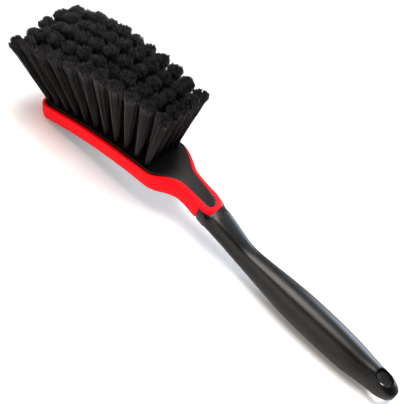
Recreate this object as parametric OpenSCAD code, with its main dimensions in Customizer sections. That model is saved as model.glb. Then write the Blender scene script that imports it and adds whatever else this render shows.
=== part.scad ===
// Hand wheel brush, resting on its back with the bristles up.
// The parts are drawn in a head frame: X runs from the head's tip to the handle's end,
// Y is the width and Z is the way the bristles point. The whole brush is then tipped
// until the head's back edge and the belly of the grip both touch Z = 0.

/* [Head] */
// Length of the bristle block, from the tip to the shoulder
head_l = 118; // [112:1:130]
// Width of the bristle block without its bumper
head_w = 42; // [40:1:48]
// Thickness of the bristle block
head_t = 16; // [15:0.5:20]
// Radius of the block's long arch
arch_r = 400; // [350:10:700]
// Radius of the block's corners, seen from above
corner_r = 8; // [5:0.5:12]

/* [Neck] */
// Half the width of the neck panel behind the shoulder
panel_w = 6.6; // [5.5:0.1:8]
// Distance from the tip to the end of the neck panel
panel_end = 170; // [165:1:175]
// Slope of the neck at the end of its panel, in mm of fall per mm
neck_fall = 0.55; // [0.4:0.05:0.65]

/* [Bumper] */
// Thickness of the soft bumper around the head
bumper_t = 3; // [2:0.25:4]
// Width of the soft frame around the neck panel
frame_w = 4.25; // [3.5:0.25:6]
// Height of bare block above the bumper
bare_top = 2; // [1:0.25:3]

/* [Handle] */
// Distance from the tip to the handle's end
handle_end = 352; // [345:1:360]
// Widest half-width of the grip
grip_r = 13.4; // [12:0.1:15]
// Diameter of the hang hole
hang_d = 12; // [10:0.5:14]
// Distance from the hang hole's axis to the handle's end
hang_in = 12.7; // [12.5:0.1:15]

/* [Bristles] */
// Tufts along the head
rows = 11; // [9:1:11]
// Tufts across the head
cols = 5; // [3:1:5]
// Distance between tufts along the head
pitch_x = 10.8; // [10.5:0.1:11]
// Distance between tufts across the head
pitch_y = 8.2; // [8:0.1:8.4]
// Diameter of a tuft's hole
hole_d = 5; // [4.5:0.1:5.2]
// Depth of a tuft's hole
hole_deep = 10; // [8:0.5:11]
// Free length of the tufts at the head's ends
tuft_l = 62; // [54:1:64]
// How much longer the middle tufts are
tuft_crown = 3; // [0:0.5:5]
// Radius of a tuft's tip
tuft_tip_r = 5; // [4:0.1:5.1]
// Lean of the end rows along the head, in degrees
fan_along = 17; // [15:1:20]
// Lean of the outer tufts at the head's tip, in degrees
fan_tip = 14; // [12:1:18]
// Lean of the outer tufts at the handle's side, in degrees
fan_neck = 5; // [5:1:10]

/* [Hidden] */
function tuft_name(i, j) = str("tuft_", i < 9 ? "0" : "", i + 1, ["a", "b", "c", "d", "e"][j]);
TUFTS = [for (i = [0:rows - 1], j = [0:cols - 1]) tuft_name(i, j)];

head_mid = 57;         // X of the top of the arch
head_top = 4;          // height of the arch over the tip's upper edge
shoulder_l = 27;       // length of the curve from the head's side to the neck
step = 2;              // spacing of the points on the curved outlines
side_end = panel_end - 6.5;    // X where the bumper's sides stop
frame_end = panel_end - 5;     // X where the frame's round end starts
frame_round = 10;      // length of that round end
inlay_t = 2.7;         // thickness of the frame where it is let into the handle
skirt = 1.5;           // bare block below the bumper
fit_gap = 0.1;         // clearance of a tuft in its hole
anchor = [5.8, 0.4, 1.6];
first_row = 6.5;       // X of the first row of tufts
roundness = 2.2;       // exponent of the handle's section, 2 is an ellipse

arch_z0 = head_top - arch_r;
arch_low = arch_r - head_t;
m_shoulder = (head_l - head_mid) / arch_r;
function arch(x) = arch_z0 + sqrt(pow(arch_r, 2) - pow(x - head_mid, 2));
function falls(d) = m_shoulder * d + (neck_fall - m_shoulder) * d * d / 2 / (panel_end - head_l);
function top_z(x) = x < head_l ? arch(x) : arch(head_l) - falls(x - head_l);
function ease(t) = t <= 0 ? 0 : t >= 1 ? 1 : t * t * (3 - 2 * t);
function inner_w(x) = head_w / 2 + (panel_w - head_w / 2) * ease((x - head_l) / shoulder_l)
    - 1.7 * max(0, x - head_l - shoulder_l) / (panel_end - head_l - shoulder_l);
function bare(x) = bare_top * (1 - ease((x - head_l) / shoulder_l));
function neck_t(x) = head_t + 2.5 * ease((x - head_l) / (side_end - head_l));
function wall(x) = bumper_t + (frame_w - bumper_t) * ease((x - head_l) / 20)
    + 0.8 * ease((x - side_end + 10) / 12);

// Handle sections: X, Z of the middle, half width, half height
SECTIONS = [
    [160, -23.4, 12.5, 9.5],
    [172, -29, 12.1, 9.5],
    [186, -37.6, 10.3, 9.9],
    [197, -44.5, 9.3, 9.5],
    [213, -51.8, 9.6, 10.1],
    [236, -58.8, 11.9, 12.4],
    [262, -66.2, grip_r, 14.1],
    [286, -73, grip_r, 14.1],
    [310, -79.7, 12.5, 13.1],
    [328, -84.4, 10.6, 11.6],
    [340, -87.7, 9.7, 10.2],
    [handle_end - 4, -89.8, 7.8, 7],
    [handle_end, -90.8, 3, 2.6],
];
function at(i) = SECTIONS[min(max(i, 0), len(SECTIONS) - 1)];
function spline(i, t) = let (p = at(i - 1), q = at(i), r = at(i + 1), s = at(i + 2))
    q + 0.5 * t * (r - p) + t * t * (p - 2.5 * q + 2 * r - 0.5 * s)
    + pow(t, 3) * (1.5 * (q - r) + 0.5 * (s - p));
per_section = 3;       // rings between two sections
ring_n = 28;           // points around a ring
STATIONS = concat(
    [for (i = [0:len(SECTIONS) - 2], k = [0:per_section - 1]) spline(i, k / per_section)],
    [at(len(SECTIONS))]
);
function lean(i) = let (a = STATIONS[max(i - 1, 0)], b = STATIONS[min(i + 1, len(STATIONS) - 1)])
    atan2(a[1] - b[1], b[0] - a[0]);
function super(c) = sign(c) * pow(abs(c), 2 / roundness);
function ring(i) = let (s = STATIONS[i], a = lean(i), turn = 360 / ring_n) [
    for (k = [0:ring_n - 1])
        let (y = s[2] * super(cos(k * turn)), h = s[3] * super(sin(k * turn)))
            [s[0] + h * sin(a), y, s[1] + h * cos(a)]
];

// The hang hole leans less than the handle's end, so that it draws out of the mould
hang_x = handle_end - hang_in;
hang_z = -87.4;
hang_lean = 8;

// Tipping that lays the brush on its back: through the tip's back edge and the belly
tip_back = arch_z0 + sqrt(pow(arch_low, 2) - pow(head_mid, 2));
function belly(i) = let (s = STATIONS[i], a = lean(i))
    atan2(tip_back - s[1] + s[3] * cos(a), s[0] - s[3] * sin(a));
rest_tilt = max([for (i = [9:len(STATIONS) - 6]) belly(i)]);
mid_x = 162.78;        // X of the middle of the resting brush, before it is centred

module rested() {
    translate([-mid_x, 0, 0]) rotate([0, -rest_tilt, 0]) translate([0, 0, -tip_back]) children();
}

module head_plan(grow) {
    r = corner_r + grow;
    w = head_w / 2 + grow;
    translate([corner_r, -w]) square([head_l - corner_r, 2 * w]);
    translate([-grow, -w + r]) square([r, 2 * (w - r)]);
    for (s = [-1, 1]) translate([corner_r, s * (w - r)]) circle(r = r, $fn = 64);
}

function squarish(c) = sign(c) * pow(abs(c), 0.83);

// Outline of the neck: the panel, or with grow = 1 the outer side of the bumper
module neck_plan(grow, x_end, round_end) {
    n = floor((x_end - head_l) / step);
    xs = [for (i = [0:n]) x_end - (n - i) * step];
    function half(x) = inner_w(x) + grow * wall(x);
    r = half(x_end);
    polygon(concat(
        [[head_l - 1, -half(head_l)]],
        [for (x = xs) [x, -half(x)]],
        [for (a = [-80:10:80]) [x_end + round_end * squarish(cos(a)), r * squarish(sin(a))]],
        [for (i = [n:-1:0]) [xs[i], half(xs[i])]],
        [[head_l - 1, half(head_l)]]
    ));
}

// Side view of the neck; bared = 1 keeps below the bare edge, sunk lowers the top further
module neck_slab(bared, sunk, skirted, x0, x1) {
    n = ceil((x1 - x0) / step);
    xs = [for (i = [0:n]) x0 + (x1 - x0) * i / n];
    rotate([90, 0, 0]) linear_extrude(80, center = true) polygon(concat(
        [for (x = xs) [x, top_z(x) - bared * bare(x) - sunk]],
        [for (i = [n:-1:0]) [xs[i], top_z(xs[i]) - neck_t(xs[i]) + skirted]]
    ));
}

// Arched slab with true cylindrical faces, between two depths below the block's top
module arched(depth_top, depth_low) {
    intersection() {
        translate([head_mid, 0, arch_z0]) rotate([90, 0, 0]) difference() {
            cylinder(r = arch_r - depth_top, h = 90, center = true, $fn = 360);
            cylinder(r = arch_r - depth_low, h = 91, center = true, $fn = 360);
        }
        translate([-10, -40, -60]) cube([head_l + 10, 80, 120]);
    }
}

module panel_plan() {
    neck_plan(0, panel_end - 5, 5);
}

module frame_plan() {
    neck_plan(1, frame_end, frame_round);
}

// The slim stretch of the core inside the end of the bumper's sides
module tongue() {
    intersection() {
        neck_slab(0, inlay_t, 2, head_l + 16, side_end + 8);
        translate([head_l + 10, -7.5, -80]) cube([side_end + 8 - head_l - 10, 15, 100]);
    }
}

// Round end of the frame, let into the top of the handle; rise adds height above it
module inlay(rise) {
    intersection() {
        translate([0, 0, -80]) linear_extrude(120) frame_plan();
        rotate([90, 0, 0]) linear_extrude(80, center = true) polygon(concat(
            [for (x = [side_end:1.5:side_end + 13.5]) [x, top_z(x) + rise]],
            [for (x = [side_end + 13.5:-1.5:side_end]) [x, top_z(x) - inlay_t]]
        ));
    }
}

module loft() {
    n = len(STATIONS);
    m = ring_n;
    points = [for (i = [0:n - 1], p = ring(i)) p];
    faces = concat(
        [for (i = [0:n - 2], k = [0:m - 1])
            [i * m + k, (i + 1) * m + (k + 1) % m, i * m + (k + 1) % m]],
        [for (i = [0:n - 2], k = [0:m - 1])
            [i * m + k, (i + 1) * m + k, (i + 1) * m + (k + 1) % m]],
        [[for (k = [0:m - 1]) k]],
        [[for (k = [m - 1:-1:0]) (n - 1) * m + k]]
    );
    polyhedron(points, faces, convexity = 6);
}

// Where a tuft stands: its base on the block and its lean both ways
module tuft_frame(i, j) {
    u = 2 * i / (rows - 1) - 1;
    v = 2 * j / (cols - 1) - 1;
    x = first_row + i * pitch_x;
    across = v * (fan_tip + (fan_neck - fan_tip) * (u + 1) / 2);
    translate([x, v * pitch_y * (cols - 1) / 2, arch(x)]) rotate([-across, u * fan_along, 0]) children();
}
function tuft_long(i) = tuft_l + tuft_crown * (1 - pow(2 * i / (rows - 1) - 1, 2));

module anchor_bar(grow) {
    translate([0, 0, -hole_deep + anchor[2] / 2])
        cube([anchor[0], anchor[1] + grow, anchor[2] + grow], center = true);
}

module core_and_handle() color("#2c2b2a") rested() difference() {
    union() {
        intersection() {
            translate([0, 0, -60]) linear_extrude(120) head_plan(0);
            arched(0, head_t);
        }
        intersection() {
            translate([0, 0, -80]) linear_extrude(120) panel_plan();
            neck_slab(0, 0, 0, head_l - 1, panel_end + 2);
        }
        tongue();
        difference() {
            loft();
            translate([0, -40, -100]) cube([side_end, 80, 120]);
            inlay(12);
        }
    }
    for (i = [0:rows - 1], j = [0:cols - 1]) tuft_frame(i, j) {
        translate([0, 0, -hole_deep]) cylinder(d = hole_d, h = hole_deep + 3, $fn = 32);
        anchor_bar(0);
    }
    translate([hang_x, 0, hang_z]) rotate([0, hang_lean, 0])
        cylinder(d = hang_d, h = 60, center = true, $fn = 64);
}

module soft_bumper() color("#e3122a") rested() difference() {
    union() {
        intersection() {
            translate([0, 0, -60]) linear_extrude(120) head_plan(bumper_t);
            arched(bare_top, head_t - skirt);
        }
        intersection() {
            translate([0, 0, -80]) linear_extrude(120) frame_plan();
            neck_slab(1, 0, skirt, head_l, side_end);
        }
        inlay(0);
    }
    translate([0, 0, -60]) linear_extrude(120) head_plan(0);
    translate([0, 0, -80]) linear_extrude(120) panel_plan();
    tongue();
}

module anchor_staples() color("#b9bbbd") rested()
    for (i = [0:rows - 1], j = [0:cols - 1]) tuft_frame(i, j) anchor_bar(0);

module tuft(i, j) color("#1d1d1f") rested() tuft_frame(i, j) difference() {
    union() {
        translate([0, 0, -hole_deep]) cylinder(r = hole_d / 2 - fit_gap, h = hole_deep + 0.01, $fn = 32);
        cylinder(r1 = hole_d / 2 - fit_gap, r2 = tuft_tip_r, h = tuft_long(i), $fn = 32);
    }
    anchor_bar(0);
}

core_and_handle();
soft_bumper();
anchor_staples();
for (i = [0:rows - 1], j = [0:cols - 1])
    tuft(i, j);
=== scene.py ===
# Wheel brush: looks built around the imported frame
import bpy
import bmesh
import math
import random
from mathutils import Matrix, Vector


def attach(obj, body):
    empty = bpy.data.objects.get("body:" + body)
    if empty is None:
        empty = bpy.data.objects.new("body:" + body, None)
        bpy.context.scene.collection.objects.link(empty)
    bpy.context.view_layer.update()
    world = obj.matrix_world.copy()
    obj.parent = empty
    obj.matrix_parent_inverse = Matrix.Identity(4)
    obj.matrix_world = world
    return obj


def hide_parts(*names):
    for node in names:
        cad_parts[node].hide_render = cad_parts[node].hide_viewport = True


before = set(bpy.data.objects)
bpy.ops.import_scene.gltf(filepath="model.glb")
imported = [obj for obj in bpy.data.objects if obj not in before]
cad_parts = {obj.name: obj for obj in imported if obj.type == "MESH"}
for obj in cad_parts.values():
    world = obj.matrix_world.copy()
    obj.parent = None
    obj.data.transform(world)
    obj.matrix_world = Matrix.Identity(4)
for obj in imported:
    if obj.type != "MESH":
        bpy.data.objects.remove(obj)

print("frame loaded:", len(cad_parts), "nodes")
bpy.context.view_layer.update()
scene = bpy.context.scene
mm = 0.001

# Everything is drawn in millimetres in the head's frame (X from the tip to the handle's end, Z up
# the bristles), then tipped onto its back as the frame has it.
layout = {
    "headLength": 118,
    "headWidth": 42,
    "headThick": 16,
    "archRadius": 400,
    "archMiddle": 57,
    "archRise": 4,
    "cornerRadius": 8,
    "shoulder": 27,       # length of the curve from head to neck
    "panelWidth": 6.6,    # half the width of the neck panel
    "panelTaper": 1.7,
    "panelEnd": 170,
    "neckFall": 0.55,     # slope of the panel's end
    "bumperThick": 3,
    "frameWidth": 3.5,    # width of the red frame around the panel
    "frameFlare": 1.2,    # what its end adds to that
    "frameGrows": 20,     # length over which the bumper widens into the frame
    "flareLead": 10,      # how far before the sides' end the frame starts to flare
    "flareLength": 12,
    "shoulderPinch": 1.1, # how much thinner the bumper is round the shoulder
    "pinchIn": (96, 16),  # X where that starts, and the length it takes
    "pinchOut": (124, 14),
    "sideEnd": 163.5,     # X at which the bumper's sides stop
    "rake": 0.24,         # how far the neck's sections lean back, in mm per mm of depth
    "rakeFrom": 140,
    "rakeOver": 20,
    "rakeBelow": 3,       # depth under which they lean
    "frameStart": 165,    # X at which the frame's round end starts
    "frameRound": 8.8,    # length of that end
    "restTilt": 13.9963,  # degrees
    "middle": 162.78,
}


def archZ(x):
    r = layout["archRadius"]
    return layout["archRise"] - r + math.sqrt(r * r - (x - layout["archMiddle"]) ** 2)


backRadius = layout["archRadius"] - layout["headThick"]
tipBack = (layout["archRise"] - layout["archRadius"]
           + math.sqrt(backRadius ** 2 - layout["archMiddle"] ** 2))
toRest = (Matrix.Scale(mm, 4) @ Matrix.Translation((-layout["middle"], 0, 0))
          @ Matrix.Rotation(-math.radians(layout["restTilt"]), 4, "Y")
          @ Matrix.Translation((0, 0, -tipBack)))


def ease(t):
    t = min(max(t, 0.0), 1.0)
    return t * t * (3 - 2 * t)


# Height of the head's and the neck's top line
def topZ(x):
    start = layout["headLength"]
    if x < start:
        return archZ(x)
    d = x - start
    slope = (start - layout["archMiddle"]) / layout["archRadius"]
    bend = (layout["neckFall"] - slope) / 2 / (layout["panelEnd"] - start)
    return archZ(start) - slope * d - bend * d * d


def panelHalf(x):
    d = x - layout["headLength"]
    full = layout["headWidth"] / 2
    straight = layout["panelEnd"] - layout["headLength"] - layout["shoulder"]
    taper = layout["panelTaper"] * max(0.0, d - layout["shoulder"]) / straight
    return full + (layout["panelWidth"] - full) * ease(d / layout["shoulder"]) - taper


# How much thinner the bumper gets round the shoulder
def pinched(x):
    start, fadeIn = layout["pinchIn"]
    end, fadeOut = layout["pinchOut"]
    return layout["shoulderPinch"] * ease((x - start) / fadeIn) * (1 - ease((x - end) / fadeOut))


# Width of the bumper or frame outside the panel
def frameWide(x):
    p = layout
    wider = (p["frameWidth"] - p["bumperThick"]) * ease((x - p["headLength"]) / p["frameGrows"])
    flare = p["frameFlare"] * ease((x - p["sideEnd"] + p["flareLead"]) / p["flareLength"])
    return p["bumperThick"] + wider - pinched(x) + flare


# X of a point below the neck's top, where the sections lean back
def raked(x, depth):
    part = ease((x - layout["rakeFrom"]) / layout["rakeOver"])
    return x - layout["rake"] * part * max(depth - layout["rakeBelow"], 0.0)


# Put a mesh into the rest pose and make it an object
def finished(bm, name, material):
    bmesh.ops.transform(bm, matrix=toRest, verts=bm.verts)
    mesh = bpy.data.meshes.new(name)
    bm.to_mesh(mesh)
    bm.free()
    for poly in mesh.polygons:
        poly.use_smooth = True
    mesh.materials.append(material)
    piece = bpy.data.objects.new(name, mesh)
    scene.collection.objects.link(piece)
    return piece


def subdivided(piece, levels):
    mod = piece.modifiers.new("round", "SUBSURF")
    mod.levels = levels
    mod.render_levels = levels


# Grow the open edge of a loft by one ring of new points
def nextRing(bm, ring):
    edges = [bm.edges.get((ring[i], ring[(i + 1) % len(ring)])) for i in range(len(ring))]
    grown = bmesh.ops.extrude_edge_only(bm, edges=edges)["geom"]
    new = set(g for g in grown if isinstance(g, bmesh.types.BMVert))
    order = []
    for v in ring:
        order.append(next(e.other_vert(v) for e in v.link_edges if e.other_vert(v) in new))
    return order


# Materials
def srgb(hexText):
    channels = [int(hexText[i:i + 2], 16) / 255 for i in (1, 3, 5)]
    linear = [c / 12.92 if c <= 0.04045 else ((c + 0.055) / 1.055) ** 2.4 for c in channels]
    return tuple(linear) + (1.0,)


def addNode(tree, kind, settings=None, links=None):
    made = tree.nodes.new(kind)
    for key, value in (settings or {}).items():
        if key in made.inputs.keys():
            made.inputs[key].default_value = value
        else:
            setattr(made, key, value)
    for key, source in (links or {}).items():
        tree.links.new(source, made.inputs[key])
    return made


def newMaterial(name):
    material = bpy.data.materials.new(name)
    material.use_nodes = True
    tree = material.node_tree
    shader = tree.nodes["Principled BSDF"]
    return material, tree, shader


def ramp(tree, fac, stops):
    made = addNode(tree, "ShaderNodeValToRGB", links={"Fac": fac})
    while len(made.color_ramp.elements) < len(stops):
        made.color_ramp.elements.new(0.5)
    for element, (place, colour) in zip(made.color_ramp.elements, stops):
        element.position = place
        element.color = srgb(colour)
    return made.outputs["Color"]


# Noise whose features are this many millimetres apart
def noise(tree, place, size, detail):
    made = addNode(tree, "ShaderNodeTexNoise", {"Scale": 1 / (size * mm), "Detail": detail},
                   {"Vector": place})
    return made.outputs["Fac"]


def bumped(tree, shader, height, strength):
    made = addNode(tree, "ShaderNodeBump", {"Strength": strength, "Distance": 0.1 * mm},
                   {"Height": height})
    tree.links.new(made.outputs["Normal"], shader.inputs["Normal"])


def mouldedPolypropylene():
    # Injection-moulded polypropylene from a spark-eroded tool: satin black with a fine even grain
    look = {
        "grain": 0.7,         # mm; the real grain is about 0.1 and is drawn coarser to show
        "blotch": 14,         # mm
        "colours": [(0.3, "#151413"), (0.7, "#1b1918")],
        "smoothest": 0.30,
        "roughest": 0.38,
        "bump": 0.12,
        "ior": 1.49,
    }
    material, tree, shader = newMaterial("moulded polypropylene")
    place = addNode(tree, "ShaderNodeTexCoord").outputs["Object"]
    grain = noise(tree, place, look["grain"], 2.0)
    blotch = noise(tree, place, look["blotch"], 3.0)
    tree.links.new(ramp(tree, blotch, look["colours"]), shader.inputs["Base Color"])
    rough = addNode(tree, "ShaderNodeMapRange",
                    {"To Min": look["smoothest"], "To Max": look["roughest"]}, {"Value": blotch})
    tree.links.new(rough.outputs["Result"], shader.inputs["Roughness"])
    bumped(tree, shader, grain, look["bump"])
    shader.inputs["IOR"].default_value = look["ior"]
    return material


def softElastomer():
    # Overmoulded thermoplastic elastomer: saturated red, matt and slightly silky
    look = {
        "grain": 0.6,         # mm
        "blotch": 20,         # mm
        "colours": [(0.3, "#d9061a"), (0.7, "#e3081e")],
        "bump": 0.1,
        "rough": 0.6,
        "ior": 1.48,
        "specular": 0.32,
    }
    material, tree, shader = newMaterial("red thermoplastic elastomer")
    place = addNode(tree, "ShaderNodeTexCoord").outputs["Object"]
    grain = noise(tree, place, look["grain"], 2.0)
    blotch = noise(tree, place, look["blotch"], 2.0)
    tree.links.new(ramp(tree, blotch, look["colours"]), shader.inputs["Base Color"])
    bumped(tree, shader, grain, look["bump"])
    shader.inputs["Roughness"].default_value = look["rough"]
    shader.inputs["IOR"].default_value = look["ior"]
    shader.inputs["Specular IOR Level"].default_value = look["specular"]
    return material


def flaggedPolyester():
    # Extruded polyester filament with split ends: near-black and glossy along the stem, lighter and
    # warmer towards the tip, partly the split ends' own lighter tone and partly painted highlight and
    # painted light shining through, in place of the glints on the tips
    look = {
        "strandMix": 0.9,     # mm; how fast the tone changes from strand to strand
        "reach": 62,          # mm; height over which the colour runs from root to tip
        # the pale tip end of this ramp is partly painted highlight standing in for the glints on the
        # split ends
        "rootToTipWithPaintedGlint": [(0.0, "#121212"), (0.6, "#272523"), (0.88, "#312f2f"), (1.0, "#605f60")],
        "strandColours": [(0.4, "#606060"), (0.6, "#ffffff")],
        "strandShare": 0.6,
        "rough": 0.4,
        "ior": 1.57,
    }
    material, tree, shader = newMaterial("flagged polyester filament")
    place = addNode(tree, "ShaderNodeTexCoord").outputs["Object"]
    tilt = math.radians(layout["restTilt"])
    turned = addNode(tree, "ShaderNodeMapping", {"Rotation": (0, tilt, 0)}, {"Vector": place})
    height = addNode(tree, "ShaderNodeSeparateXYZ", links={"Vector": turned.outputs["Vector"]})
    level = Matrix.Rotation(tilt, 3, "Y") @ (toRest @ Vector((layout["archMiddle"], 0, 0)))
    along = addNode(tree, "ShaderNodeMapRange",
                    {"From Min": level.z, "From Max": level.z + look["reach"] * mm},
                    {"Value": height.outputs["Z"]})
    # colour from root to tip, its lighter tip end partly painted highlight
    colour = ramp(tree, along.outputs["Result"], look["rootToTipWithPaintedGlint"])
    speck = noise(tree, place, look["strandMix"], 1.0)
    mix = addNode(tree, "ShaderNodeMix",
                  {"data_type": "RGBA", "blend_type": "MULTIPLY", "Factor": look["strandShare"]})
    tree.links.new(colour, mix.inputs["A"])
    tree.links.new(ramp(tree, speck, look["strandColours"]), mix.inputs["B"])
    tree.links.new(mix.outputs["Result"], shader.inputs["Base Color"])
    shader.inputs["Roughness"].default_value = look["rough"]
    shader.inputs["IOR"].default_value = look["ior"]
    return material


def drawnSteel():
    # Flat drawn steel wire, lightly scored along its length
    look = {"score": 0.4, "colours": [(0.3, "#a9abad"), (0.7, "#c3c5c7")], "rough": 0.35}
    material, tree, shader = newMaterial("flat drawn steel wire")
    place = addNode(tree, "ShaderNodeTexCoord").outputs["Object"]
    score = noise(tree, place, look["score"], 2.0)
    tree.links.new(ramp(tree, score, look["colours"]), shader.inputs["Base Color"])
    shader.inputs["Metallic"].default_value = 1.0
    shader.inputs["Roughness"].default_value = look["rough"]
    return material


blackMoulding = mouldedPolypropylene()
redElastomer = softElastomer()
filament = flaggedPolyester()
steelWire = drawnSteel()
print("materials made")

# Camera, floor and light
view = {
    "place": (450.9, -387.7, 471.9),   # mm in the head's frame
    "aim": (156.2, 0, -24.5),
    "roll": 4.9,                       # degrees
    "lens": 80.2,
    "sensor": 36,
    "clipStart": 0.05,                 # metres
}


def makeCamera():
    data = bpy.data.cameras.new("camera")
    data.lens = view["lens"]
    data.sensor_width = view["sensor"]
    data.sensor_fit = "HORIZONTAL"
    data.clip_start = view["clipStart"]
    camera = bpy.data.objects.new("camera", data)
    scene.collection.objects.link(camera)
    place = Vector(view["place"])
    back = (place - Vector(view["aim"])).normalized()
    right = Vector((0, 0, 1)).cross(back).normalized()
    turn = Matrix.Rotation(math.radians(view["roll"]), 3, back)
    right = turn @ right
    up = back.cross(right)
    frameAxes = Matrix((right, up, back)).transposed()
    tilt = Matrix.Rotation(-math.radians(layout["restTilt"]), 3, "Y")
    camera.matrix_world = Matrix.Translation(toRest @ place) @ (tilt @ frameAxes).to_4x4()
    scene.camera = camera


makeCamera()

# Softboxes: place and size in metres, watts and colour
studio = {
    "floor": 3.0,         # half its side, in metres
    "paper": (0.93, 0.93, 0.93, 1),
    "paperRough": 0.9,
    "worldBright": 0.46,
    "worldDark": 0.05,    # on the side that the brush is looked at from
    "worldTurn": 0.1,     # where that side ends, as a cosine
    "boxes": {
        "nearSoftbox": ((-0.3, -1.3, 0.6), 1.6, 13, (1.0, 0.94, 0.88)),
        "topSoftbox": ((-0.2, 0.15, 1.5), 1.0, 21, (1.0, 0.96, 0.92)),
        "farSoftbox": ((0.45, 1.2, 0.45), 0.9, 16, (0.75, 0.87, 1.0)),
    },
}


def makeStudio():
    makeFloor()
    makeRoom()
    for name, (place, size, power, colour) in studio["boxes"].items():
        data = bpy.data.lights.new(name, "AREA")
        data.size = size
        data.energy = power
        data.color = colour
        lamp = bpy.data.objects.new(name, data)
        scene.collection.objects.link(lamp)
        lamp.location = place
        lamp.rotation_euler = Vector(place).to_track_quat("Z", "Y").to_euler()


def makeFloor():
    bm = bmesh.new()
    bmesh.ops.create_grid(bm, x_segments=1, y_segments=1, size=studio["floor"])
    mesh = bpy.data.meshes.new("floor")
    bm.to_mesh(mesh)
    bm.free()
    material, tree, shader = newMaterial("white backdrop paper")
    shader.inputs["Base Color"].default_value = studio["paper"]
    shader.inputs["Roughness"].default_value = studio["paperRough"]
    mesh.materials.append(material)
    floor = bpy.data.objects.new("floor", mesh)
    scene.collection.objects.link(floor)


# White where it is seen, and unlit on one side for the reflections
def makeRoom():
    world = bpy.data.worlds.new("studio")
    world.use_nodes = True
    room = world.node_tree
    cameraSide = (toRest @ Vector(view["place"])).normalized()
    facing = addNode(room, "ShaderNodeVectorMath", {"operation": "DOT_PRODUCT"})
    room.links.new(addNode(room, "ShaderNodeNewGeometry").outputs["Incoming"], facing.inputs[0])
    facing.inputs[1].default_value = cameraSide
    bright = addNode(room, "ShaderNodeMapRange",
                     {"From Min": -1.0, "From Max": studio["worldTurn"],
                      "To Min": studio["worldDark"], "To Max": studio["worldBright"]},
                     {"Value": facing.outputs["Value"]})
    strength = addNode(room, "ShaderNodeMath", {"operation": "MAXIMUM"})
    room.links.new(bright.outputs["Result"], strength.inputs[0])
    room.links.new(addNode(room, "ShaderNodeLightPath").outputs["Is Camera Ray"], strength.inputs[1])
    room.nodes["Background"].inputs["Color"].default_value = (1, 1, 1, 1)
    room.links.new(strength.outputs["Value"], room.nodes["Background"].inputs["Strength"])
    scene.world = world


makeStudio()
scene.view_settings.view_transform = "Standard"
scene.view_settings.look = "High Contrast"
print("studio made")

# Black body
body = {
    "rows": 11,
    "cols": 5,
    "pitchX": 10.8,
    "pitchY": 8.2,
    "firstRow": 6.5,
    "holeHalf": 2.55,     # half of a tuft hole's mouth
    "holeDeep": 7,
    "edge": 0.5,          # radius that the block's edges get
    "wallDepths": (5, 11),           # where the block's sides have points
    "backPoints": (0.96, 0.6, 0.2),  # and its back, as parts of its half width
    "bonded": 2.7,        # depth at which the core steps out under the bumper
    "neckHalf": 12.2,     # half width of the handle where the frame ends
    "neckSections": (126, 131, 136, 142, 150, 157, 162.6),
    "neckStart": 2.5,     # how far the first neck section is from the block
    "neckDeeper": 2,      # what the neck gains in depth over its first part
    "neckWider": 1.6,     # and in width under the bumper
    "neckGrows": 30,      # length of that part
    "seatDepth": 18.8,    # depth of the handle's root
    "seatRound": 5,       # length of the panel's round end
    "seatSunk": 1.7,      # how far the handle starts below the frame's end
    "capInset": 1.0,
    "cellInset": 1.4,     # first step from a tuft's cell towards its hole
    "mouthInset": 0.4,
    "mouthEase": 0.7,     # how much wider the mouth's outer edge is
    "mouthLip": 0.15,
    "mouthDeep": 1.0,
    "hangRadius": 5.8,    # across the handle
    "hangLong": 7.0,      # and along it
    "hangLip": 0.5,       # rounding of the hang hole's mouth
    "hangX": 339.3,
    "hangZ": -87.4,
    "hangLean": 8,
    "tailLean": 15.8,
}
# Sections of the handle: X, Z of the middle, half width, half height, depth of the side valleys
grip = [
    (172.5, -29.7, 12.2, 8.9, 1.6),
    (179, -33.5, 11.6, 9.1, 1.9),
    (187, -38.3, 10.6, 9.3, 2.0),
    (197, -44.7, 9.4, 9.3, 1.7),
    (205, -49.0, 9.1, 9.5, 1.3),
    (213, -52.0, 9.4, 10.0, 0.8),
    (224, -55.4, 10.5, 11.1, 0.4),
    (236, -58.9, 11.6, 12.2, 0.2),
    (248, -62.4, 12.7, 13.2, 0),
    (262, -66.2, 13.4, 13.9, 0),
    (286, -73.0, 13.4, 14.1, 0),
    (300, -77.0, 13.0, 13.7, 0),
    (310, -79.9, 12.5, 13.2, 0),
    (319, -82.1, 11.5, 12.2, 0),
]
# The handle's end, with the hang hole between its second and fifth section
tail = [
    (325.5, -83.7, 10.3, 11.9),
    (330.0, -84.7, 9.6, 11.9),
    (334.6, -85.9, 9.2, 11.8),
    (341.4, -87.8, 8.9, 11.2),
    (346.0, -89.0, 8.1, 9.5),
    (349.8, -90.2, 6.6, 7.0),
    (352.3, -90.8, 3.8, 4.2),
]
pointCount = 22
section = {
    "power": 2.27,        # 2 would be an ellipse
    "first": 147.27,      # angle of the first point
    "squarer": 0.45,      # what a valley adds to the power on top, per mm
    "topFrom": 0.35,      # sine above which a point counts as top
    "valleyAt": 24,       # angle of the side valleys in degrees
    "valleyWide": 15,     # and how wide they are
}


def handleRing(x, z, half, high, valley, lean):
    ring = []
    for k in range(pointCount):
        angle = math.radians(section["first"] - 360 / pointCount * k)
        c, s = math.cos(angle), math.sin(angle)
        power = section["power"] + (section["squarer"] * valley if s > section["topFrom"] else 0)
        y = half * math.copysign(abs(c) ** (2 / power), c)
        h = high * math.copysign(abs(s) ** (2 / power), s)
        away = math.degrees(math.atan2(s, abs(c))) - section["valleyAt"]
        side = math.exp(-(away / section["valleyWide"]) ** 2) if s > 0 else 0
        y -= math.copysign(valley * side, y)
        h -= valley * side
        ring.append(Vector((x + h * math.sin(lean), y, z + h * math.cos(lean))))
    return ring


def leanAt(i):
    a = grip[max(i - 1, 0)]
    b = grip[min(i + 1, len(grip) - 1)]
    return math.atan2(a[1] - b[1], b[0] - a[0])


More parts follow.
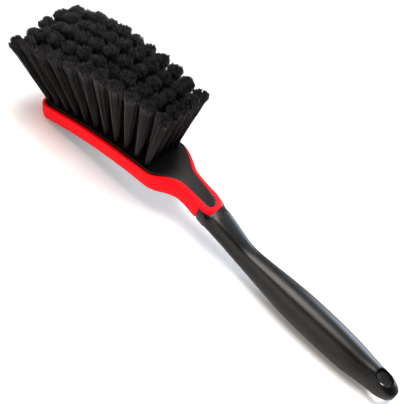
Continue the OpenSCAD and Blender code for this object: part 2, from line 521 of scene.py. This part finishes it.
# Section of the bristle block, with points where the tuft cells begin
def blockRing(x, half):
    z = topZ(x)
    low = layout["headThick"]
    edge = body["edge"]
    narrowed = half / (layout["headWidth"] / 2)
    top = [(j - body["cols"] / 2) * body["pitchY"] * narrowed for j in range(body["cols"] + 1)]
    sides = (edge,) + body["wallDepths"] + (low - edge,)
    back = body["backPoints"] + tuple(-f for f in reversed(body["backPoints"]))
    ring = [Vector((x, y, z)) for y in [-half] + top + [half]]
    ring += [Vector((x, half, z - d)) for d in sides]
    ring += [Vector((x, half * f, z - low)) for f in back]
    ring += [Vector((x, -half, z - d)) for d in reversed(sides)]
    return ring


# Section of the neck: the panel on top, stepping out under the bumper
def neckRing(x, half, wide, low):
    step = body["bonded"]
    across = (0.2, 0.6, 0.92, 1)
    top = [(half * f, 0.0) for f in [-g for g in reversed(across)] + list(across)]
    side = [(half, body["edge"]), (half + 0.1 * (wide - half), step), (wide, step + 3), (wide, low - 3)]
    return wholeRing(x, top, side, [(wide * f, low - f * f * 1.5) for f in (0.85, 0.55, 0.2)])


# Section of the handle's root, where the end of the frame lies on it
def seatRing(x, half, low, sunk=0.0):
    wide = body["neckHalf"]
    top = [(wide * 0.92, 2.4), (half, 0.05 + sunk), (half * 0.6, sunk), (half * 0.2, sunk)]
    top = [(-y, d) for y, d in top] + top[::-1]
    side = [(wide, 5.0), (wide, 8.5), (wide * 0.97, low - 7), (wide * 0.85, low - 3)]
    return wholeRing(x, top, side, [(wide * f, low - f * f * 1.6) for f in (0.68, 0.42, 0.14)])


# The section's points from (Y, depth) pairs: over the top, down one side, back and up
def wholeRing(x, top, side, under):
    pairs = top + side + under + [(-y, d) for y, d in under[::-1] + side[::-1]]
    return [Vector((raked(x, d), y, topZ(x) - d)) for y, d in pairs]


def loft(bm, rings):
    first = [bm.verts.new(v) for v in rings[0]]
    for i in range(len(first)):
        bm.edges.new((first[i], first[(i + 1) % len(first)]))
    grown = [first]
    for points in rings[1:]:
        ring = nextRing(bm, grown[-1])
        for v, place in zip(ring, points):
            v.co = place
        grown.append(ring)
    return grown


def blockRings():
    p = layout
    half = p["headWidth"] / 2
    r = p["cornerRadius"]
    starts = [body["firstRow"] + (i - 0.5) * body["pitchX"] for i in range(body["rows"] + 1)]
    rings = [blockRing(0.0, half - r), blockRing(0.4, half - r * 0.69)]
    for x in starts:
        inset = r - math.sqrt(max(r * r - (r - x) ** 2, 0)) if x < r else 0
        rings.append(blockRing(x, half - inset))
    x = p["headLength"] + body["neckStart"]
    return rings + [blockRing(x, panelHalf(x))]


def neckRings():
    p = layout
    rings = []
    for x in body["neckSections"]:
        t = ease((x - p["headLength"]) / body["neckGrows"])
        wide = panelHalf(x) + 0.2 + body["neckWider"] * t
        rings.append(neckRing(x, panelHalf(x), wide, p["headThick"] + body["neckDeeper"] * t))
    # the panel's round end
    endX = p["panelEnd"] - body["seatRound"]
    endHalf = panelHalf(endX)
    deep = body["seatDepth"]
    rings.append(seatRing(p["sideEnd"] + 0.1, endHalf, deep - 0.2))
    for angle in (6, 36, 62, 80):
        a = math.radians(angle)
        rings.append(seatRing(endX + body["seatRound"] * math.sin(a), endHalf * math.cos(a), deep))
    rings.append(seatRing(p["panelEnd"] + 0.8, 2.5, deep + 0.2, sunk=body["seatSunk"]))
    return rings


# Every tuft's cell is inset to the hole's mouth and sunk
def sinkTuftHoles(bm, grown):
    firstCell = 2
    cells = []
    for i in range(body["rows"]):
        near, far = grown[firstCell + i], grown[firstCell + i + 1]
        for j in range(body["cols"]):
            corners = {near[j + 1], near[j + 2], far[j + 1], far[j + 2]}
            cells.append((next(f for f in near[j + 1].link_faces if set(f.verts) == corners), i, j))
    for face, i, j in cells:
        middle = tuftBase(i, j)
        bmesh.ops.inset_region(bm, faces=[face], thickness=body["cellInset"])
        squareUp(face, middle, body["holeHalf"] + body["mouthEase"])
        bmesh.ops.inset_region(bm, faces=[face], thickness=body["mouthInset"])
        squareUp(face, middle, body["holeHalf"] + body["mouthLip"])
        for depth in (body["mouthDeep"], body["holeDeep"]):
            sunk = bmesh.ops.extrude_face_region(bm, geom=[face])
            bottom = next(g for g in sunk["geom"] if isinstance(g, bmesh.types.BMFace))
            bmesh.ops.delete(bm, geom=[face], context="FACES_ONLY")
            bmesh.ops.translate(bm, verts=bottom.verts, vec=tuftAxis(i, j) * -depth)
            face = bottom


def coreAndHandle():
    rings = blockRings() + neckRings()
    for i, (x, z, wide, high, valley) in enumerate(grip):
        rings.append(handleRing(x, z, wide, high, valley, leanAt(i)))
    holeRings = [len(rings) + i for i in (1, 2, 3, 4)]
    for x, z, wide, high in tail:
        rings.append(handleRing(x, z, wide, high, 0, math.radians(body["tailLean"])))
    bm = bmesh.new()
    grown = loft(bm, rings)
    ends = (grown[0], grown[-1])
    for ring in ends:
        bm.faces.new(ring)
    # an inset in both ends keeps the caps round
    for ring in ends:
        face = next(f for f in ring[0].link_faces if len(f.verts) == pointCount)
        bmesh.ops.inset_region(bm, faces=[face], thickness=body["capInset"], use_even_offset=False)
    bm.faces.ensure_lookup_table()
    sinkTuftHoles(bm, grown)
    drillHangHole(bm, grown, holeRings)
    bmesh.ops.recalc_face_normals(bm, faces=bm.faces)
    piece = finished(bm, "blackBodyMoulding", blackMoulding)
    subdivided(piece, 2)
    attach(piece, "root")
    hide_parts("core_and_handle")


# How a tuft leans: its place in the field from -1 to 1, and its angles across and along
def tuftLean(i, j):
    u = 2 * i / (body["rows"] - 1) - 1
    v = 2 * j / (body["cols"] - 1) - 1
    across = v * (bristles["fanTip"] + (bristles["fanNeck"] - bristles["fanTip"]) * (u + 1) / 2)
    return u, v, math.radians(across), math.radians(u * bristles["fanAlong"])


def tuftBase(i, j):
    x = body["firstRow"] + i * body["pitchX"]
    y = (j - (body["cols"] - 1) / 2) * body["pitchY"]
    return Vector((x, y, archZ(x)))


def tuftAxis(i, j):
    u, v, across, along = tuftLean(i, j)
    return (Matrix.Rotation(along, 3, "Y") @ Matrix.Rotation(-across, 3, "X")) @ Vector((0, 0, 1))


# Turn a cell's inner face into a square around the hole's axis
def squareUp(face, middle, half):
    for v in face.verts:
        v.co.x = middle.x + math.copysign(half, v.co.x - middle.x)
        v.co.y = middle.y + math.copysign(half, v.co.y - middle.y)
        v.co.z = archZ(v.co.x)


# Half height of the handle's end, this far from the hang hole's centre
def tailSurface(along, across):
    x = body["hangX"] + along * math.cos(math.radians(body["tailLean"]))
    for a, b in zip(tail[:-1], tail[1:]):
        if x <= b[0]:
            break
    t = (x - a[0]) / (b[0] - a[0])
    half = a[2] + (b[2] - a[2]) * t
    high = a[3] + (b[3] - a[3]) * t
    power = section["power"]
    return high * (1 - min(abs(across) / half, 0.98) ** power) ** (1 / power)


# The directions across and along an axis that leans towards the handle's end
def leaning(degrees):
    a = math.radians(degrees)
    return Vector((math.cos(a), 0, -math.sin(a))), Vector((math.sin(a), 0, math.cos(a)))


# Where a line beside the hang hole's axis leaves the handle, measured along the axis
def mouthHeight(along, across, sign):
    side, axis = leaning(body["hangLean"])
    down, up = leaning(body["tailLean"])
    height = 0.0
    for attempt in range(6):
        out = side * along + axis * height
        height += (sign * tailSurface(out.dot(down), across) - out.dot(up)) / axis.dot(up)
    return height


# Open the top and the bottom, set both mouths round the hole's axis and join them
def drillHangHole(bm, grown, holeRings):
    side, axis = leaning(body["hangLean"])
    centre = Vector((body["hangX"], 0, body["hangZ"]))
    walls = []
    rings = []
    for sign, columns in ((1, range(1, 7)), (-1, range(12, 18))):
        columns = list(columns)
        patch = []
        for a, b in zip(holeRings[:-1], holeRings[1:]):
            for c, d in zip(columns[:-1], columns[1:]):
                corners = {grown[a][c], grown[a][d], grown[b][c], grown[b][d]}
                patch.append(next(f for f in grown[a][c].link_faces if set(f.verts) == corners))
        rim = [grown[holeRings[0]][c] for c in columns]
        rim += [grown[h][columns[-1]] for h in holeRings[1:]]
        rim += [grown[holeRings[-1]][c] for c in reversed(columns[:-1])]
        rim += [grown[h][columns[0]] for h in reversed(holeRings[1:-1])]
        bmesh.ops.delete(bm, geom=patch, context="FACES")
        for n, v in enumerate(rim):
            angle = math.radians(360 / len(rim) * (n - (len(columns) - 1) / 2))
            along = -(body["hangLong"] + body["hangLip"]) * math.cos(angle)
            across = (body["hangRadius"] + body["hangLip"]) * math.sin(angle) * sign
            height = mouthHeight(along, across, sign)
            v.co = centre + side * along + Vector((0, across, 0)) + axis * height
        edges = [bm.edges.get((rim[n], rim[(n + 1) % len(rim)])) for n in range(len(rim))]
        new = bmesh.ops.extrude_edge_only(bm, edges=edges)["geom"]
        for v in new:
            if isinstance(v, bmesh.types.BMVert):
                out = v.co - centre
                along = out.dot(side) * body["hangLong"] / (body["hangLong"] + body["hangLip"])
                across = out.y * body["hangRadius"] / (body["hangRadius"] + body["hangLip"])
                height = out.dot(axis) - body["hangLip"] * sign
                v.co = centre + side * along + Vector((0, across, 0)) + axis * height
                walls.append(v)
        edges = [g for g in new if isinstance(g, bmesh.types.BMEdge)]
        rings += [e for e in edges if all(v in walls for v in e.verts)]
    bmesh.ops.bridge_loops(bm, edges=rings)


# Red bumper
bumper = {
    "bareTop": 2.0,
    "sideHigh": 13.8,
    "neckHigh": 16.8,
    "topFall": 1.2,       # how far the frame's top face falls outwards
    "valley": 0.7,        # groove between that face and the side
    "bulge": 2.4,         # how far the side stands out beyond the frame
    "bulgeHead": 0.3,     # the same along the head
    "proud": 0.25,        # how far the frame stands above the panel
    "neckLength": 26,     # over this length the head's section turns into the neck's
    "bareEnd": (3, 14),   # where the bare edge starts to close, and over what length
    "valleyFrom": (132, 20),
    "pinchDrop": 1.6,     # what the side gains in height per mm of pinch
    "endPower": 2.5,      # squareness of the frame's round end
    "headPoints": (20, 36, 52, 68, 84, 100, 110),
    "neckPoints": (117, 121, 125, 129, 133, 137, 141, 146, 151, 156, 160),
    "endAngles": (8, 24, 38, 50, 62, 76, 90),
}


# Points along the near half of the core's outline: X, Y, outward direction, width outwards
def bumperPath():
    p = layout
    r = p["cornerRadius"]
    half = p["headWidth"] / 2
    thick = p["bumperThick"]
    path = [(0.0, -y, -1.0, 0.0, thick) for y in (0, 5, 10)]
    for angle in (0, 22.5, 45, 67.5, 90):
        a = math.radians(angle)
        s, c = math.sin(a), math.cos(a)
        path.append((r - r * c, -(half - r) - r * s, -c, -s, thick))
    path += [(x, -half, 0.0, -1.0, frameWide(x)) for x in bumper["headPoints"]]
    for x in bumper["neckPoints"] + (p["sideEnd"], p["sideEnd"] + 0.35):
        outward = Vector((panelHalf(x - 0.5) - panelHalf(x + 0.5), -1)).normalized()
        path.append((x, -panelHalf(x), outward.x, outward.y, frameWide(x)))
    start = p["frameStart"]
    inner = panelHalf(start)
    outer = inner + frameWide(start)
    power = bumper["endPower"]
    for angle in bumper["endAngles"]:
        a = math.radians(angle)
        s, c = math.sin(a), math.cos(a)
        near = Vector((start + (p["panelEnd"] - start) * s, -inner * c))
        square = (s ** power + max(c, 0) ** power) ** (-1 / power)
        across = Vector((start + p["frameRound"] * s * square, -outer * c * square)) - near
        outward = across.normalized()
        path.append((near.x, near.y, outward.x, outward.y, across.length))
    return path


# Outline of the bumper as (outward, height) from the panel's top edge
def bumperSection(x, f, atEnd):
    b = bumper
    t = ease((x - layout["headLength"] - 1) / b["neckLength"])
    bareFrom, bareOver = b["bareEnd"]
    lift = -b["bareTop"] * (1 - ease((x - layout["headLength"] - bareFrom) / bareOver))
    fall = b["topFall"] * t
    bulge = b["bulgeHead"] + (b["bulge"] - b["bulgeHead"]) * t
    grooveFrom, grooveOver = b["valleyFrom"]
    groove = b["valley"] * ease((x - grooveFrom) / grooveOver)
    high = b["sideHigh"] + (b["neckHigh"] - b["sideHigh"]) * t + pinched(x) * b["pinchDrop"]
    proud = b["proud"] * t
    top = [
        (0.12, lift - 1.2),
        (0.16, lift - 0.05 + proud * 0.5),
        (0.6, lift + proud),
        (f * 0.6, lift + proud - fall * 0.2),
        (f - 0.4 + 0.2 * t, lift + proud - fall * 0.55 - 0.15 * (1 - t)),
        (f + 0.5 * t, lift - fall - 0.6),
    ]
    if atEnd:
        return top + [
            (f + 0.5, -fall - 1.1),
            (f + 0.5, -fall - 1.7),
            (f + 0.4, -fall - 2.3),
            (f + 0.1, -fall - 2.7),
            (f - 1.2, -fall - 2.8),
            (f - 2.2, -fall - 2.8),
            (1.2, -3.4),
            (0.12, -2.6),
        ]
    return top + [
        (f + 0.5 * t - groove, lift - fall - 1.7),
        (f + bulge * 0.5, lift - fall - 3.2),
        (f + bulge, lift - high * 0.52),
        (f + bulge * 0.8 - 0.4, lift - high + 2.4),
        (f + bulge * 0.45 - 0.9, lift - high + 0.4),
        (f - 2.0, lift - high),
        (0.1, lift - high + 0.6),
        (0.1, lift - high * 0.5),
    ]


def softBumper():
    bm = bmesh.new()
    rings = []
    for x, y, nx, ny, wide in bumperPath():
        atEnd = x > layout["sideEnd"] + 0.1
        ring = []
        for out, height in bumperSection(x, wide, atEnd):
            px = x + nx * out
            ring.append(Vector((raked(px, -height), min(y + ny * out, 0.0), topZ(px) + height)))
        rings.append(ring)
    loft(bm, rings)
    everything = bm.verts[:] + bm.edges[:] + bm.faces[:]
    bmesh.ops.mirror(bm, geom=everything, axis="Y", merge_dist=0.001)
    bmesh.ops.remove_doubles(bm, verts=bm.verts, dist=0.01)
    bmesh.ops.recalc_face_normals(bm, faces=bm.faces)
    piece = finished(bm, "redSoftBumper", redElastomer)
    subdivided(piece, 2)
    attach(piece, "root")
    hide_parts("soft_bumper")


# Bristles
bristles = {
    "seed": 7,
    "strands": 300,
    "length": 64.1,
    "crown": 2.5,
    "fanAlong": 17.5,
    "fanTip": 14.5,
    "fanNeck": 4,
    "uneven": 1.5,         # how much the tufts' lengths differ, either way
    "ragged": 0.8,         # and the strands' within a tuft
    "strayTip": 0.4,       # how far a strand's tip is off its place
    "edgeShort": 0.025,    # how much shorter a tuft's outermost strands are
    "swirl": 0.25,         # radians that a tuft may be twisted
    "sway": 0.35,
    "narrowing": 0.35,     # how much thinner a strand is at its end
    "rootDeep": 4.0,
    "rootRadius": 2.15,
    "tipAlong": 5.9,       # half the spread of a tuft's tip along the head
    "tipNeck": 5.3,        # and across it, near the neck
    "tipTip": 6.3,         # and at the head's tip
    "thick": 0.21,         # radius of a strand
    "flags": 3,
    "flagLong": 6,
    "curl": 1.5,           # how far a flag wanders sideways
    "flagLengths": (0.6, 1.1),
    "clumps": 6,           # bunches that a tuft's tip parts into
    "clumpSpread": 0.7,
    "clumping": 0.16,      # how far the strands lean into their bunch
    "clumpStep": 0.8,      # how unevenly long the bunches are
}


def strand(curve, points, radius):
    spline = curve.splines.new("POLY")
    spline.points.add(len(points) - 1)
    for slot, (place, scale) in zip(spline.points, points):
        slot.co = (place.x, place.y, place.z, 1)
        slot.radius = scale * radius


# The strand's split end: thin curved flags
def addFlags(curve, rnd, place, end, heading):
    b = bristles
    for flag in range(b["flags"]):
        turn = rnd.uniform(0, 2 * math.pi)
        wander = b["curl"] * rnd.uniform(0.3, 1.0)
        away = Vector((math.cos(turn), math.sin(turn), 0))
        crosswise = Vector((-away.y, away.x, 0))
        flagLong = b["flagLong"] * rnd.uniform(*b["flagLengths"])
        path = [(end - heading * 0.5, 0.65)]
        for t, s in ((0.35, 0.75), (0.7, 0.8), (1.0, 0.5)):
            bend = away * t + crosswise * 0.7 * math.sin(4.5 * t + turn)
            path.append((end + heading * (flagLong * t) + bend * wander, s))
        strand(curve, [(place @ q, s) for q, s in path], b["thick"])


def tuft(i, j):
    b = bristles
    rnd = random.Random(b["seed"] * 1000 + i * 10 + j)
    u, v, across, along = tuftLean(i, j)
    place = (toRest @ Matrix.Translation(tuftBase(i, j)) @ Matrix.Rotation(along, 4, "Y")
             @ Matrix.Rotation(-across, 4, "X"))
    long = b["length"] + b["crown"] * (1 - u * u) + rnd.uniform(-b["uneven"], b["uneven"])
    spreadY = b["tipTip"] + (b["tipNeck"] - b["tipTip"]) * (u + 1) / 2
    name = "tuft%02d%s" % (i + 1, "ABCDE"[j])
    curve = bpy.data.curves.new(name, "CURVE")
    curve.dimensions = "3D"
    curve.bevel_depth = mm
    curve.bevel_resolution = 0
    curve.use_fill_caps = True
    swirl = rnd.uniform(-b["swirl"], b["swirl"])
    wide = b["clumpSpread"]
    clumps = [(rnd.uniform(-wide, wide), rnd.uniform(-wide, wide), rnd.gauss(0, b["clumpStep"]))
              for n in range(b["clumps"])]
    for n in range(b["strands"]):
        angle = rnd.uniform(0, 2 * math.pi)
        out = math.sqrt(rnd.random())
        cx, cy = out * math.cos(angle), out * math.sin(angle)
        tx, ty = out ** 0.9 * math.cos(angle + swirl), out ** 0.9 * math.sin(angle + swirl)
        gx, gy, step = min(clumps, key=lambda c: (c[0] - tx) ** 2 + (c[1] - ty) ** 2)
        tx += (gx - tx) * b["clumping"]
        ty += (gy - ty) * b["clumping"]
        root = Vector((cx * b["rootRadius"], cy * b["rootRadius"], -b["rootDeep"]))
        reach = long * (1 - b["edgeShort"] * out ** 3) + step + rnd.gauss(0, b["ragged"])
        tip = Vector((tx * b["tipAlong"] + rnd.gauss(0, b["strayTip"]),
                      ty * spreadY + rnd.gauss(0, b["strayTip"]), reach - b["flagLong"]))
        path = [(root, 1.0)]
        for t in (0.12, 0.55, 1.0):
            k = t ** 1.12
            sway = b["sway"] * math.sin(t * 3 + n)
            path.append((Vector((root.x + (tip.x - root.x) * k + sway * t,
                                 root.y + (tip.y - root.y) * k, tip.z * t)), 1.0 - b["narrowing"] * t))
        strand(curve, [(place @ q, s) for q, s in path], b["thick"])
        addFlags(curve, rnd, place, path[-1][0], (tip - root).normalized())
    holder = bpy.data.objects.new(name, curve)
    scene.collection.objects.link(holder)
    bpy.context.view_layer.update()
    mesh = bpy.data.meshes.new_from_object(holder.evaluated_get(bpy.context.evaluated_depsgraph_get()))
    bpy.data.objects.remove(holder)
    mesh.name = name
    mesh.materials.clear()
    mesh.materials.append(filament)
    piece = bpy.data.objects.new(name, mesh)
    scene.collection.objects.link(piece)
    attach(piece, "root")
    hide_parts("tuft_%02d%s" % (i + 1, "abcde"[j]))
    return len(mesh.polygons)


coreAndHandle()
print("black body made")
softBumper()
print("bumper made")
faces = sum(tuft(i, j) for i in range(body["rows"]) for j in range(body["cols"]))
print("tufts made:", faces, "faces")

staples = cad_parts["anchor_staples"]
for slotIndex in range(len(staples.material_slots)):
    staples.material_slots[slotIndex].material = steelWire
